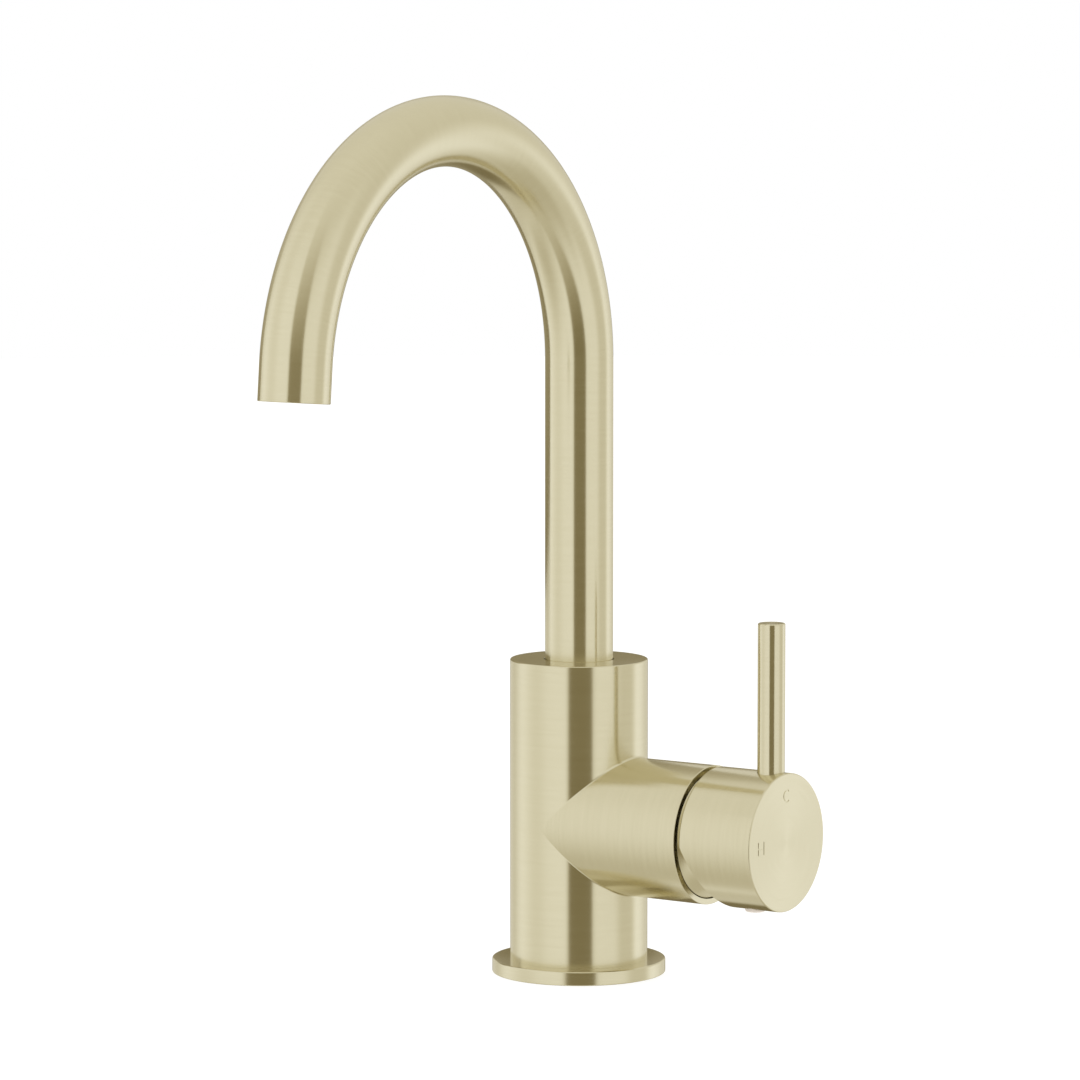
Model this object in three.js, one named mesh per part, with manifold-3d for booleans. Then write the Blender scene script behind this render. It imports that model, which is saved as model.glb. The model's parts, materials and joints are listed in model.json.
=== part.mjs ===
// A single-lever basin mixer: a round brass body with a side barrel for its ceramic cartridge, a
// swan-neck spout that swivels in the body's top, and a handle on the barrel that turns for
// temperature and tilts for flow.
// Millimetres, +Z up. The origin is the centre of the foot's underside, +X runs along the barrel's
// axis to the handle, and the spout reaches towards -Y.
import * as THREE from 'three';
import { mergeVertices } from 'three/addons/utils/BufferGeometryUtils.js';
import Module from 'manifold-3d';

const wasm = await Module();
wasm.setup();

// Driving dimensions.
const GAP = 0.3; // between pieces that meet
const EDGE = 0.4; // the small chamfer on visible edges

const BODY_RADIUS = 22.5;
const BODY_TOP = 103.3;
const FLANGE_RADIUS = 28.4;
const FLANGE_HEIGHT = 4.6;
const FOOT_RADIUS = 20.4;
const SEAL_INNER = 22.5;
const SEAL_OUTER = 26.5;
const SEAL_HEIGHT = 2;

const BARREL_HEIGHT = 49.7;
const BARREL_END = 52;
const SEAT_FLOOR = 13; // where the cartridge stands, from the body's axis
const SEAT_RADIUS = 17.7;
const NUT_BORE_RADIUS = 18.6;
const NUT_BORE_START = 42;
const MOUTH_RADIUS = 20.6;
const MOUTH_START = 47.5;

const HOSE_PORT_RADIUS = 4.5; // M10x1
const HOSE_PORT_DEPTH = 14;
const RISER_RADIUS = 3;
const STUD_HOLE = { x: 2, y: 11, radius: 3.4, depth: 14 }; // M8

const SOCKET_RADIUS = 11.4;
const SOCKET_FLOOR = 76;
const TUBE_RADIUS = 11.1;
const TUBE_WALL = 1.5;
const TUBE_BOTTOM = 97;
const BEND_START = 201;
const BEND_RADIUS = 75.65;
const BEND_STEP = THREE.MathUtils.degToRad(5);
const BEND_STEPS = 35;
const OUTLET_LENGTH = 11.2;
const LOCK_HEIGHT = 92.5; // the screw that holds the spout in

const PIVOT = 36; // the lever's tilting axis, from the body's axis
const PIVOT_HOLE_RADIUS = 1.8;
const RELIEF_SLOPE = Math.tan(THREE.MathUtils.degToRad(24.4)); // a little over the handle's tilt
const BALL_ARM = 8.5;
const BALL_RADIUS = 2.9;
const DOME_RADIUS = 25.8;
const DOME_END = 56;
const DOME_OPENING = 14.2;
const HANDLE_RADIUS = 22.3;
const HANDLE_RIM = 53.7;
const HANDLE_FACE = 80.4;
const HANDLE_FLOOR = 62.5;
const HANDLE_WALL = 1.7;
const STEM_WIDTH = 7;
const STEM_END = 72.5;
const PIN_RADIUS = 4.4;
const PIN_X = 74.4;
const PIN_TOP = 70.2; // above the barrel's axis
const PIN_ROOT = 12;
const GRUB_X = 68.7;
const GRUB_HOLE_RADIUS = 2.3;
const PLUG_HOLE_RADIUS = 3.6;
const PLUG_SEAT = -16; // from the barrel's axis

// The ceramic discs' ports: clock is measured from straight up towards the spout, in degrees.
const PORTS = {
  cold: { clock: 12, out: 8.3, radius: 2.6, riser: 7.5 },
  hot: { clock: 78, out: 8.3, radius: 2.6, riser: -6 },
  outlet: { clock: 225, out: 5.7, radius: 3, riser: 1.5 },
};
const PEGS = [
  { clock: 290, out: 12 },
  { clock: 150, out: 12 },
];

const FINE = 48;
const MEDIUM = 32;
const COARSE = 20;
const SMALL = 12;

function finish(color, metalness, roughness) {
  return new THREE.MeshStandardMaterial({ color, metalness, roughness });
}

const brushedGold = finish(0xd5cdaf, 1, 0.32);
const brass = finish(0xb99a5a, 1, 0.35);
const steel = finish(0xb4b6b8, 1, 0.3);
const ceramic = finish(0xe9e6de, 0, 0.25);
const whitePlastic = finish(0xe6e4de, 0, 0.5);
const bluePlastic = finish(0x5a7ea6, 0, 0.5);
const greyPlastic = finish(0x4a4d50, 0, 0.55);
const blushPlastic = finish(0xe8d9cf, 0, 0.45);
const rubber = finish(0x1c1c1d, 0, 0.8);

// A closed geometry as a solid that can be joined and cut.
function solid(geometry) {
  geometry.deleteAttribute('normal');
  geometry.deleteAttribute('uv');
  const merged = mergeVertices(geometry, 1e-4);
  const vertProperties = merged.attributes.position.array;
  const triVerts = new Uint32Array(merged.index.array);
  return new wasm.Manifold(new wasm.Mesh({ numProp: 3, vertProperties, triVerts }));
}

// A profile of [radius, height] points turned about an axis through a point.
function turned(axis, profile, sides, at = [0, 0, 0]) {
  const points = profile.map(([radius, height]) => new THREE.Vector2(radius, height));
  const geometry = new THREE.LatheGeometry(points, sides);
  if (axis === 'z') geometry.rotateX(Math.PI / 2);
  if (axis === 'x') geometry.rotateZ(-Math.PI / 2);
  return solid(geometry.translate(...at));
}

function rod(radius, low, high) {
  return [[0, low], [radius, low], [radius, high], [0, high]];
}

function ring(inner, outer, low, high) {
  return [[inner, low], [outer, low], [outer, high], [inner, high], [inner, low]];
}

// A seal's section: an octagon between two radii.
function sealRing(inner, outer, middle) {
  const radius = (outer - inner) / 2;
  const corner = (k) => ((k + 0.5) * Math.PI) / 4;
  return Array.from({ length: 9 }, (_, k) => [
    inner + radius + radius * Math.cos(corner(k)),
    middle + radius * Math.sin(corner(k)),
  ]);
}

function box(low, high) {
  const size = high.map((value, k) => value - low[k]);
  const centre = high.map((value, k) => (value + low[k]) / 2);
  return solid(new THREE.BoxGeometry(...size).translate(...centre));
}

// A point on the disc's face, from its clock angle and its distance out.
function onClock({ clock, out }) {
  const angle = THREE.MathUtils.degToRad(clock);
  return { y: -out * Math.sin(angle), z: out * Math.cos(angle) };
}

function drilled(shape, holes) {
  return holes.reduce((rest, hole) => rest.subtract(hole), shape);
}

function joined(shapes) {
  return shapes.reduce((all, shape) => all.add(shape));
}

function part(name, shape, material) {
  const { vertProperties, triVerts } = shape.getMesh();
  const geometry = new THREE.BufferGeometry();
  geometry.setAttribute('position', new THREE.BufferAttribute(vertProperties, 3));
  geometry.setIndex(new THREE.BufferAttribute(triVerts, 1));
  geometry.computeVertexNormals();
  const mesh = new THREE.Mesh(geometry, material);
  mesh.name = name;
  return mesh;
}

function group(meshes, position = [0, 0, 0]) {
  const made = new THREE.Group();
  made.position.set(...position);
  return made.add(...meshes);
}

// The flange round the foot, with a groove for its seal.
function baseFlange() {
  const inner = FOOT_RADIUS + GAP;
  const grooveTop = SEAL_HEIGHT + GAP;
  const profile = [
    [inner, 0],
    [SEAL_INNER - GAP, 0],
    [SEAL_INNER - GAP, grooveTop],
    [SEAL_OUTER + GAP, grooveTop],
    [SEAL_OUTER + GAP, 0],
    [FLANGE_RADIUS, 0],
    [FLANGE_RADIUS, FLANGE_HEIGHT - EDGE],
    [FLANGE_RADIUS - EDGE, FLANGE_HEIGHT],
    [inner, FLANGE_HEIGHT],
    [inner, 0],
  ];
  return part('base_flange', turned('z', profile, FINE), brushedGold);
}

function baseSeal() {
  return part('base_seal', turned('z', ring(SEAL_INNER, SEAL_OUTER, 0, SEAL_HEIGHT), MEDIUM), rubber);
}

// The body's outside: the foot, the column and the barrel, whose crossing makes a 45 degree vee.
function bodyBlank() {
  const shoulder = FLANGE_HEIGHT + GAP;
  const column = [
    [0, 0],
    [FOOT_RADIUS, 0],
    [FOOT_RADIUS, shoulder],
    [BODY_RADIUS, shoulder],
    [BODY_RADIUS, BODY_TOP - EDGE],
    [BODY_RADIUS - EDGE, BODY_TOP],
    [0, BODY_TOP],
  ];
  const barrel = turned('x', rod(BODY_RADIUS, 0, BARREL_END), FINE, [0, 0, BARREL_HEIGHT]);
  return turned('z', column, FINE).add(barrel);
}

// The stepped bore for the cartridge, its nut and the dome's skirt.
function cartridgeBore() {
  const profile = [
    [0, SEAT_FLOOR],
    [SEAT_RADIUS, SEAT_FLOOR],
    [SEAT_RADIUS, NUT_BORE_START],
    [NUT_BORE_RADIUS, NUT_BORE_START],
    [NUT_BORE_RADIUS, MOUTH_START],
    [MOUTH_RADIUS, MOUTH_START],
    [MOUTH_RADIUS, BARREL_END + 1],
    [0, BARREL_END + 1],
  ];
  return turned('x', profile, MEDIUM, [0, 0, BARREL_HEIGHT]);
}

// A water passage: a drilling back from the seat floor and a vertical riser that meets it.
function waterway(port) {
  const { y, z } = onClock(port);
  const level = BARREL_HEIGHT + z;
  const back = turned('x', rod(port.radius, port.riser, SEAT_FLOOR + 1), SMALL, [0, y, level]);
  const upwards = [level - RISER_RADIUS, SOCKET_FLOOR + 1];
  const downwards = [-1, level + RISER_RADIUS];
  const [low, high] = port === PORTS.outlet ? upwards : downwards;
  return back.add(turned('z', rod(RISER_RADIUS, low, high), SMALL, [port.riser, y, 0]));
}

function hosePort(port) {
  const at = [port.riser, onClock(port).y, 0];
  return turned('z', rod(HOSE_PORT_RADIUS, -1, HOSE_PORT_DEPTH), COARSE, at);
}

function pegs(radius, back, front) {
  return PEGS.map((peg) => {
    const { y, z } = onClock(peg);
    return turned('x', rod(radius, back, front), SMALL, [0, y, z]);
  });
}

function pegHoles() {
  return pegs(1.5, SEAT_FLOOR - 2.5, SEAT_FLOOR + 1).map((hole) => hole.translate([0, 0, BARREL_HEIGHT]));
}

function mainBody() {
  const holes = [
    cartridgeBore(),
    turned('z', rod(SOCKET_RADIUS, SOCKET_FLOOR, BODY_TOP + 1), MEDIUM),
    ...Object.values(PORTS).map(waterway),
    hosePort(PORTS.hot),
    hosePort(PORTS.cold),
    turned('z', rod(STUD_HOLE.radius, -1, STUD_HOLE.depth), SMALL, [STUD_HOLE.x, STUD_HOLE.y, 0]),
    turned('y', rod(2.1, SOCKET_RADIUS - 1, BODY_RADIUS + 1), SMALL, [0, 0, LOCK_HEIGHT]),
    ...pegHoles(),
  ];
  return part('main_body', drilled(bodyBlank(), holes), brushedGold);
}

// The grub screw in the body's back, whose dog point runs in the spout's groove.
function spoutLockScrew() {
  const profile = [
    [0, 10.2],
    [1.2, 10.2],
    [1.2, 12.4],
    [1.8, 12.8],
    [1.8, BODY_RADIUS - 1],
    [0, BODY_RADIUS - 1],
  ];
  const hexKey = turned('y', rod(1, BODY_RADIUS - 3.5, BODY_RADIUS), 6, [0, 0, LOCK_HEIGHT]);
  const screw = turned('y', profile, SMALL, [0, 0, LOCK_HEIGHT]);
  return part('spout_lock_screw', screw.subtract(hexKey), steel);
}

function spoutThrustRing() {
  const profile = ring(6.8, SOCKET_RADIUS - GAP, SOCKET_FLOOR + GAP, SOCKET_FLOOR + 1.7);
  return part('spout_thrust_ring', turned('z', profile, MEDIUM), whitePlastic);
}

// The cartridge's plastic base, with its ports, seal recesses and locating pegs.
const BASE_BACK = SEAT_FLOOR + GAP;
const BASE_FRONT = 17.3;
const SEAL_RECESS = 1.4;

function cartridgeBase() {
  const plate = turned('x', rod(17.1, BASE_BACK, BASE_FRONT), MEDIUM);
  const holes = Object.values(PORTS).flatMap((port) => {
    const { y, z } = onClock(port);
    const recess = rod(port.radius + 1.6, BASE_BACK - 1, BASE_BACK + SEAL_RECESS);
    const passage = rod(port.radius, BASE_BACK, BASE_FRONT + 1);
    return [turned('x', passage, SMALL, [0, y, z]), turned('x', recess, COARSE, [0, y, z])];
  });
  const solidPegs = pegs(1.2, SEAT_FLOOR - 2, BASE_BACK + 1);
  return part('cartridge_base', joined([drilled(plate, holes), ...solidPegs]), whitePlastic);
}

function portSeal([name, port]) {
  const { y, z } = onClock(port);
  const inner = port.radius + 0.1;
  const outer = port.radius + 1.3;
  const shape = turned('x', sealRing(inner, outer, BASE_BACK + 0.5), COARSE, [0, y, z]);
  return part(`port_seal_${name}`, shape, rubber);
}

const FIXED_DISC_BACK = BASE_FRONT + GAP;
const FIXED_DISC_FRONT = FIXED_DISC_BACK + 3;

function fixedDisc() {
  const plate = turned('x', rod(13, FIXED_DISC_BACK, FIXED_DISC_FRONT), MEDIUM);
  const holes = Object.values(PORTS).map((port) => {
    const { y, z } = onClock(port);
    return turned('x', rod(port.radius, FIXED_DISC_BACK - 1, FIXED_DISC_FRONT + 1), SMALL, [0, y, z]);
  });
  return part('fixed_disc', drilled(plate, holes), ceramic);
}

// The moving disc has a pear-shaped pocket that joins a port to the outlet when it slides.
const MOVING_DISC_RADIUS = 11.6;
const MOVING_DISC_BACK = FIXED_DISC_FRONT + GAP;
const MOVING_DISC_FRONT = MOVING_DISC_BACK + 2.5;
const DRIVE_PEG_OUT = 8;

function movingDisc() {
  const plate = turned('x', rod(MOVING_DISC_RADIUS, MOVING_DISC_BACK, MOVING_DISC_FRONT), MEDIUM);
  const pocket = rod(4.5, MOVING_DISC_BACK - 1, MOVING_DISC_BACK + 1.5);
  const tip = rod(3.2, MOVING_DISC_BACK - 1, MOVING_DISC_BACK + 1.5);
  const peg = rod(1.3, MOVING_DISC_FRONT - 1.5, MOVING_DISC_FRONT + 1);
  const holes = [
    turned('x', pocket, COARSE, [0, 0, -3]),
    turned('x', tip, COARSE, [0, 0, 2]),
    turned('x', peg, SMALL, [0, DRIVE_PEG_OUT, 0]),
    turned('x', peg, SMALL, [0, -DRIVE_PEG_OUT, 0]),
  ];
  return part('moving_disc', drilled(plate, holes), ceramic);
}

const CARRIER_BACK = MOVING_DISC_FRONT + GAP;
const CARRIER_FRONT = 30.2;

function discCarrier() {
  const socket = BALL_RADIUS + 0.5;
  const plate = turned('x', ring(socket, MOVING_DISC_RADIUS, CARRIER_BACK, CARRIER_FRONT), MEDIUM);
  const peg = rod(1, CARRIER_BACK - 1.2, CARRIER_BACK + 1);
  const drivePegs = [-DRIVE_PEG_OUT, DRIVE_PEG_OUT].map((y) => turned('x', peg, SMALL, [0, y, 0]));
  return part('disc_carrier', joined([plate, ...drivePegs]), bluePlastic);
}

const CASE_RADIUS = 17.4;
const CASE_INNER = 15.4;
const CASE_FRONT = 44;
const CASE_LIP_BACK = 41.3;
const CASE_LIP_INNER = 12.9;

function cartridgeCase() {
  const profile = [
    [CASE_INNER, BASE_FRONT + GAP],
    [CASE_RADIUS, BASE_FRONT + GAP],
    [CASE_RADIUS, CASE_FRONT],
    [CASE_LIP_INNER, CASE_FRONT],
    [CASE_LIP_INNER, CASE_LIP_BACK],
    [CASE_INNER, CASE_LIP_BACK],
    [CASE_INNER, BASE_FRONT + GAP],
  ];
  return part('cartridge_case', turned('x', profile, MEDIUM), bluePlastic);
}

// The ring nut that clamps the cartridge, with a hexagon for its spanner.
function retainingNut() {
  const thread = turned('x', rod(NUT_BORE_RADIUS - GAP, CASE_FRONT + GAP, MOUTH_START), MEDIUM);
  const hexagon = turned('x', rod(NUT_BORE_RADIUS - GAP, MOUTH_START - 1, 50), 6);
  const bore = turned('x', rod(13.4, CASE_FRONT, 51), MEDIUM);
  return part('retaining_nut', thread.add(hexagon).subtract(bore), brass);
}

// The dome over the nut: a sphere about the tilting axis, so that the handle's rim passes over it.
function domeCollar() {
  const skirt = MOUTH_RADIUS - GAP;
  const inner = NUT_BORE_RADIUS + 0.1;
  const startAngle = Math.acos((BARREL_END - PIVOT) / DOME_RADIUS);
  const endAngle = Math.acos((DOME_END - PIVOT) / DOME_RADIUS);
  const arc = Array.from({ length: 5 }, (_, k) => {
    const angle = THREE.MathUtils.lerp(startAngle, endAngle, k / 4);
    return [DOME_RADIUS * Math.sin(angle), PIVOT + DOME_RADIUS * Math.cos(angle)];
  });
  const profile = [
    [inner, MOUTH_START + GAP],
    [skirt, MOUTH_START + GAP],
    [skirt, BARREL_END - 0.1],
    ...arc,
    [DOME_OPENING, DOME_END],
    [DOME_OPENING, DOME_END - 1.2],
    [inner, 50.5],
    [inner, MOUTH_START + GAP],
  ];
  return part('dome_collar', turned('x', profile, FINE), brushedGold);
}

// The rotor turns in the case and carries the lever on its pivot pin.
const ROTOR_RADIUS = CASE_INNER - GAP;
const ROTOR_BACK = CARRIER_FRONT + GAP;
const ROTOR_SHOULDER = CASE_LIP_BACK - GAP;
const ROTOR_FRONT = 46;
const GROOVE_MIDDLE = 39.5;
const GROOVE_HALF = 0.9;
const GROOVE_RADIUS = 13.5;

function rotor() {
  const slotHalfHeight = 9;
  const slotHalfWidth = STEM_WIDTH / 2 + GAP;
  const profile = [
    [0, ROTOR_BACK],
    [ROTOR_RADIUS, ROTOR_BACK],
    [ROTOR_RADIUS, GROOVE_MIDDLE - GROOVE_HALF],
    [GROOVE_RADIUS, GROOVE_MIDDLE - GROOVE_HALF],
    [GROOVE_RADIUS, GROOVE_MIDDLE + GROOVE_HALF],
    [ROTOR_RADIUS, GROOVE_MIDDLE + GROOVE_HALF],
    [ROTOR_RADIUS, ROTOR_SHOULDER],
    [CASE_LIP_INNER - GAP, ROTOR_SHOULDER],
    [CASE_LIP_INNER - GAP, ROTOR_FRONT],
    [0, ROTOR_FRONT],
  ];
  const low = [ROTOR_BACK - 1, -slotHalfWidth, -slotHalfHeight];
  const high = [ROTOR_FRONT + 1, slotHalfWidth, slotHalfHeight];
  const across = rod(PIVOT_HOLE_RADIUS, -ROTOR_RADIUS - 1, ROTOR_RADIUS + 1);
  const pinHole = turned('y', across, SMALL, [PIVOT, 0, 0]);
  return part('rotor', drilled(turned('x', profile, MEDIUM), [box(low, high), pinHole]), whitePlastic);
}

function rotorSeal() {
  const section = sealRing(GROOVE_RADIUS + 0.2, ROTOR_RADIUS, GROOVE_MIDDLE);
  return part('rotor_seal', turned('x', section, MEDIUM), rubber);
}

function pivotPin() {
  const length = 27;
  const section = rod(PIVOT_HOLE_RADIUS - GAP, -length / 2, length / 2);
  return part('pivot_pin', turned('y', section, SMALL, [PIVOT, 0, 0]), steel);
}

// The lever's stem: a ball in the disc's carrier, a neck, and a square shank through the pivot to the handle.
function leverStem() {
  const half = STEM_WIDTH / 2;
  const ballX = PIVOT - BALL_ARM;
  const ball = solid(new THREE.SphereGeometry(BALL_RADIUS, SMALL, SMALL / 2).translate(ballX, 0, 0));
  const neck = turned('x', rod(1.7, ballX, PIVOT - 3), SMALL);
  const shank = box([PIVOT - 4, -half, -half], [STEM_END, half, half]);
  const pinHole = turned('y', rod(PIVOT_HOLE_RADIUS, -half - 1, half + 1), SMALL, [PIVOT, 0, 0]);
  return part('lever_stem', joined([ball, neck, shank]).subtract(pinHole), brass);
}

// The space that the tilting handle needs below its axis, cut away from its rim.
function rimRelief() {
  const reach = HANDLE_RADIUS + 3;
  const outline = new THREE.Shape();
  outline.moveTo(HANDLE_RIM - 3, 0);
  outline.lineTo(HANDLE_RIM - 3, -reach);
  outline.lineTo(HANDLE_RIM + reach * RELIEF_SLOPE, -reach);
  outline.lineTo(HANDLE_RIM, 0);
  const prism = new THREE.ExtrudeGeometry(outline, { depth: 2 * reach, bevelEnabled: false });
  return solid(prism.translate(0, 0, -reach).rotateX(Math.PI / 2));
}

function handleShell() {
  const profile = [
    [0, HANDLE_FLOOR],
    [HANDLE_RADIUS - HANDLE_WALL, HANDLE_FLOOR],
    [HANDLE_RADIUS - HANDLE_WALL, HANDLE_RIM],
    [HANDLE_RADIUS, HANDLE_RIM],
    [HANDLE_RADIUS, HANDLE_FACE - EDGE],
    [HANDLE_RADIUS - EDGE, HANDLE_FACE],
    [0, HANDLE_FACE],
  ];
  const half = STEM_WIDTH / 2 + GAP;
  const pinHole = rod(PIN_RADIUS + 0.1, PIN_ROOT - GAP, HANDLE_RADIUS + 1);
  const plugHole = rod(PLUG_HOLE_RADIUS, -HANDLE_RADIUS - 1, PLUG_SEAT);
  const holes = [
    rimRelief(),
    box([HANDLE_FLOOR - 1, -half, -half], [STEM_END + GAP, half, half]),
    turned('z', pinHole, COARSE, [PIN_X, 0, 0]),
    turned('z', rod(GRUB_HOLE_RADIUS, -HANDLE_RADIUS, 0), SMALL, [GRUB_X, 0, 0]),
    turned('z', plugHole, COARSE, [GRUB_X, 0, 0]),
  ];
  return part('handle_shell', drilled(turned('x', profile, FINE), holes), brushedGold);
}

function leverPin() {
  const profile = [
    [0, PIN_ROOT],
    [PIN_RADIUS, PIN_ROOT],
    [PIN_RADIUS, PIN_TOP - EDGE],
    [PIN_RADIUS - EDGE, PIN_TOP],
    [0, PIN_TOP],
  ];
  return part('lever_pin', turned('z', profile, COARSE, [PIN_X, 0, 0]), brushedGold);
}

function handleGrubScrew() {
  const top = -STEM_WIDTH / 2 - 2 * GAP;
  const screw = turned('z', rod(GRUB_HOLE_RADIUS - GAP, top - 8, top), SMALL, [GRUB_X, 0, 0]);
  const hexKey = turned('z', rod(1.1, top - 9, top - 5.5), 6, [GRUB_X, 0, 0]);
  return part('handle_grub_screw', screw.subtract(hexKey), steel);
}

// The plug over the grub screw stands a little proud of the handle's underside.
function handlePlug() {
  const low = -HANDLE_RADIUS - 1;
  const radius = PLUG_HOLE_RADIUS - GAP;
  const bevel = 0.6;
  const profile = [
    [0, low],
    [radius - bevel, low],
    [radius, low + bevel],
    [radius, PLUG_SEAT - GAP],
    [0, PLUG_SEAT - GAP],
  ];
  return part('handle_plug', turned('z', profile, COARSE, [GRUB_X, 0, 0]), blushPlastic);
}

// The spout's centre line: one straight rise, a bend in equal steps, and one straight length to the outlet.
class SpoutLine extends THREE.Curve {
  bendAngle(step) {
    return BEND_STEP * THREE.MathUtils.clamp(step - 1, 0, BEND_STEPS);
  }

  getPointAt(u, target = new THREE.Vector3()) {
    const step = u * (BEND_STEPS + 2);
    const angle = this.bendAngle(step);
    const height = THREE.MathUtils.lerp(TUBE_BOTTOM, BEND_START, Math.min(step, 1));
    const run = OUTLET_LENGTH * Math.max(step - 1 - BEND_STEPS, 0);
    const y = -BEND_RADIUS * (1 - Math.cos(angle)) - run * Math.sin(angle);
    const z = height + BEND_RADIUS * Math.sin(angle) + run * Math.cos(angle);
    return target.set(0, y, z);
  }

  getTangentAt(u, target = new THREE.Vector3()) {
    const angle = this.bendAngle(u * (BEND_STEPS + 2));
    return target.set(0, -Math.sin(angle), Math.cos(angle));
  }
}

function circle(radius, sides) {
  return Array.from({ length: sides }, (_, k) => {
    const angle = (2 * Math.PI * k) / sides;
    return new THREE.Vector2(radius * Math.cos(angle), radius * Math.sin(angle));
  });
}

const spoutLine = new SpoutLine();

function spoutTube() {
  const section = new THREE.Shape(circle(TUBE_RADIUS, 24));
  section.holes.push(new THREE.Path(circle(TUBE_RADIUS - TUBE_WALL, 16)));
  const options = { steps: BEND_STEPS + 2, extrudePath: spoutLine, bevelEnabled: false };
  return part('spout_tube', solid(new THREE.ExtrudeGeometry(section, options)), brushedGold);
}

// The nipple in the tube's foot: grooves for two seals, the lock screw and a glide ring.
const NIPPLE_RADIUS = 11;
const NIPPLE_GROOVE_RADIUS = 9.2;
const NIPPLE_BORE_RADIUS = 6.5;
const NIPPLE_BOTTOM = SOCKET_FLOOR + 2;
const NIPPLE_TOP = TUBE_BOTTOM + 8;
const LOCK_GROOVE_HALF = 1.5;
const SPOUT_SEALS = { lower: 81.5, upper: 85.5 };
const SPOUT_SEAL_GROOVE = 2.3;
const GLIDE_RING = { low: 87.9, high: 90.2 };

function groove(low, high) {
  return [
    [NIPPLE_RADIUS, low],
    [NIPPLE_GROOVE_RADIUS, low],
    [NIPPLE_GROOVE_RADIUS, high],
    [NIPPLE_RADIUS, high],
  ];
}

function spoutNipple() {
  const halfSeal = SPOUT_SEAL_GROOVE / 2;
  const spigot = TUBE_RADIUS - TUBE_WALL - GAP;
  const shoulder = TUBE_BOTTOM - GAP;
  const profile = [
    [NIPPLE_BORE_RADIUS, NIPPLE_BOTTOM],
    [NIPPLE_RADIUS, NIPPLE_BOTTOM],
    ...groove(SPOUT_SEALS.lower - halfSeal, SPOUT_SEALS.lower + halfSeal),
    ...groove(SPOUT_SEALS.upper - halfSeal, SPOUT_SEALS.upper + halfSeal),
    ...groove(GLIDE_RING.low - GAP, GLIDE_RING.high + GAP),
    ...groove(LOCK_HEIGHT - LOCK_GROOVE_HALF, LOCK_HEIGHT + LOCK_GROOVE_HALF),
    [NIPPLE_RADIUS, shoulder],
    [spigot, shoulder],
    [spigot, NIPPLE_TOP],
    [NIPPLE_BORE_RADIUS, NIPPLE_TOP],
    [NIPPLE_BORE_RADIUS, NIPPLE_BOTTOM],
  ];
  return part('spout_nipple', turned('z', profile, MEDIUM), brass);
}

function spoutSeal([name, height]) {
  const inner = NIPPLE_GROOVE_RADIUS + 0.1;
  const shape = turned('z', sealRing(inner, SOCKET_RADIUS - 0.15, height), MEDIUM);
  return part(`spout_seal_${name}`, shape, rubber);
}

function spoutGlideRing() {
  const inner = NIPPLE_GROOVE_RADIUS + 0.2;
  const profile = ring(inner, SOCKET_RADIUS - 0.15, GLIDE_RING.low, GLIDE_RING.high);
  return part('spout_glide_ring', turned('z', profile, MEDIUM), whitePlastic);
}

// The aerator hidden in the outlet, modelled with +Z running back up the tube from the outlet's
// face.
const AERATOR_RADIUS = 9.25;
const AERATOR_INNER = 7.6;
const AERATOR_TOP = 9.5;

function aeratorHousing() {
  const sleeve = turned('z', ring(AERATOR_INNER, AERATOR_RADIUS, 0.5, AERATOR_TOP), COARSE);
  const keySlots = [0, 1].map((k) => {
    const reach = AERATOR_RADIUS + 1;
    const [x, y] = k ? [1, reach] : [reach, 1];
    return box([-x, -y, 0], [x, y, 1.6]);
  });
  return part('aerator_housing', drilled(sleeve, keySlots), greyPlastic);
}

function aeratorCore() {
  const disc = turned('z', rod(AERATOR_INNER - GAP, 2.2, 7), COARSE);
  const jet = rod(1.3, 1, 8);
  const jetCircle = 4.4;
  const jets = Array.from({ length: 6 }, (_, k) => {
    const angle = (k * Math.PI) / 3;
    return turned('z', jet, 8, [jetCircle * Math.cos(angle), jetCircle * Math.sin(angle), 0]);
  });
  return part('aerator_core', drilled(disc, [...jets, turned('z', jet, 8)]), whitePlastic);
}

function aeratorSeal() {
  const profile = ring(AERATOR_INNER - 0.4, AERATOR_RADIUS, AERATOR_TOP + GAP, AERATOR_TOP + 1.8);
  return part('aerator_seal', turned('z', profile, COARSE), rubber);
}

function aerator() {
  const made = group([aeratorHousing(), aeratorCore(), aeratorSeal()]);
  made.position.copy(spoutLine.getPointAt(1));
  made.rotation.x = BEND_STEP * BEND_STEPS - Math.PI;
  return made;
}

const fixedPieces = group([baseFlange(), baseSeal(), mainBody(), spoutLockScrew(), spoutThrustRing()]);
const cartridge = group(
  [
    cartridgeBase(),
    ...Object.entries(PORTS).map(portSeal),
    fixedDisc(),
    movingDisc(),
    discCarrier(),
    cartridgeCase(),
    retainingNut(),
    domeCollar(),
    rotor(),
    rotorSeal(),
    pivotPin(),
  ],
  [0, 0, BARREL_HEIGHT],
);
const handle = group(
  [leverStem(), handleShell(), leverPin(), handleGrubScrew(), handlePlug()],
  [0, 0, BARREL_HEIGHT],
);
const spout = group([
  spoutTube(),
  spoutNipple(),
  ...Object.entries(SPOUT_SEALS).map(spoutSeal),
  spoutGlideRing(),
  aerator(),
]);

export default group([fixedPieces, cartridge, handle, spout]);
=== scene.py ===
"""The looks of a basin mixer in brushed champagne gold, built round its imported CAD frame.

Every turned piece is one rounded outline of (radius, height) corners swept round a path, straight or
bent, with exact normals. Sizes are in metres and come from the frame's boxes and joints.
"""
import json
import math
from collections import namedtuple

import bmesh
import bpy
from mathutils import Matrix, Vector
from mathutils.bvhtree import BVHTree
from mathutils.interpolate import poly_3d_calc

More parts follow.
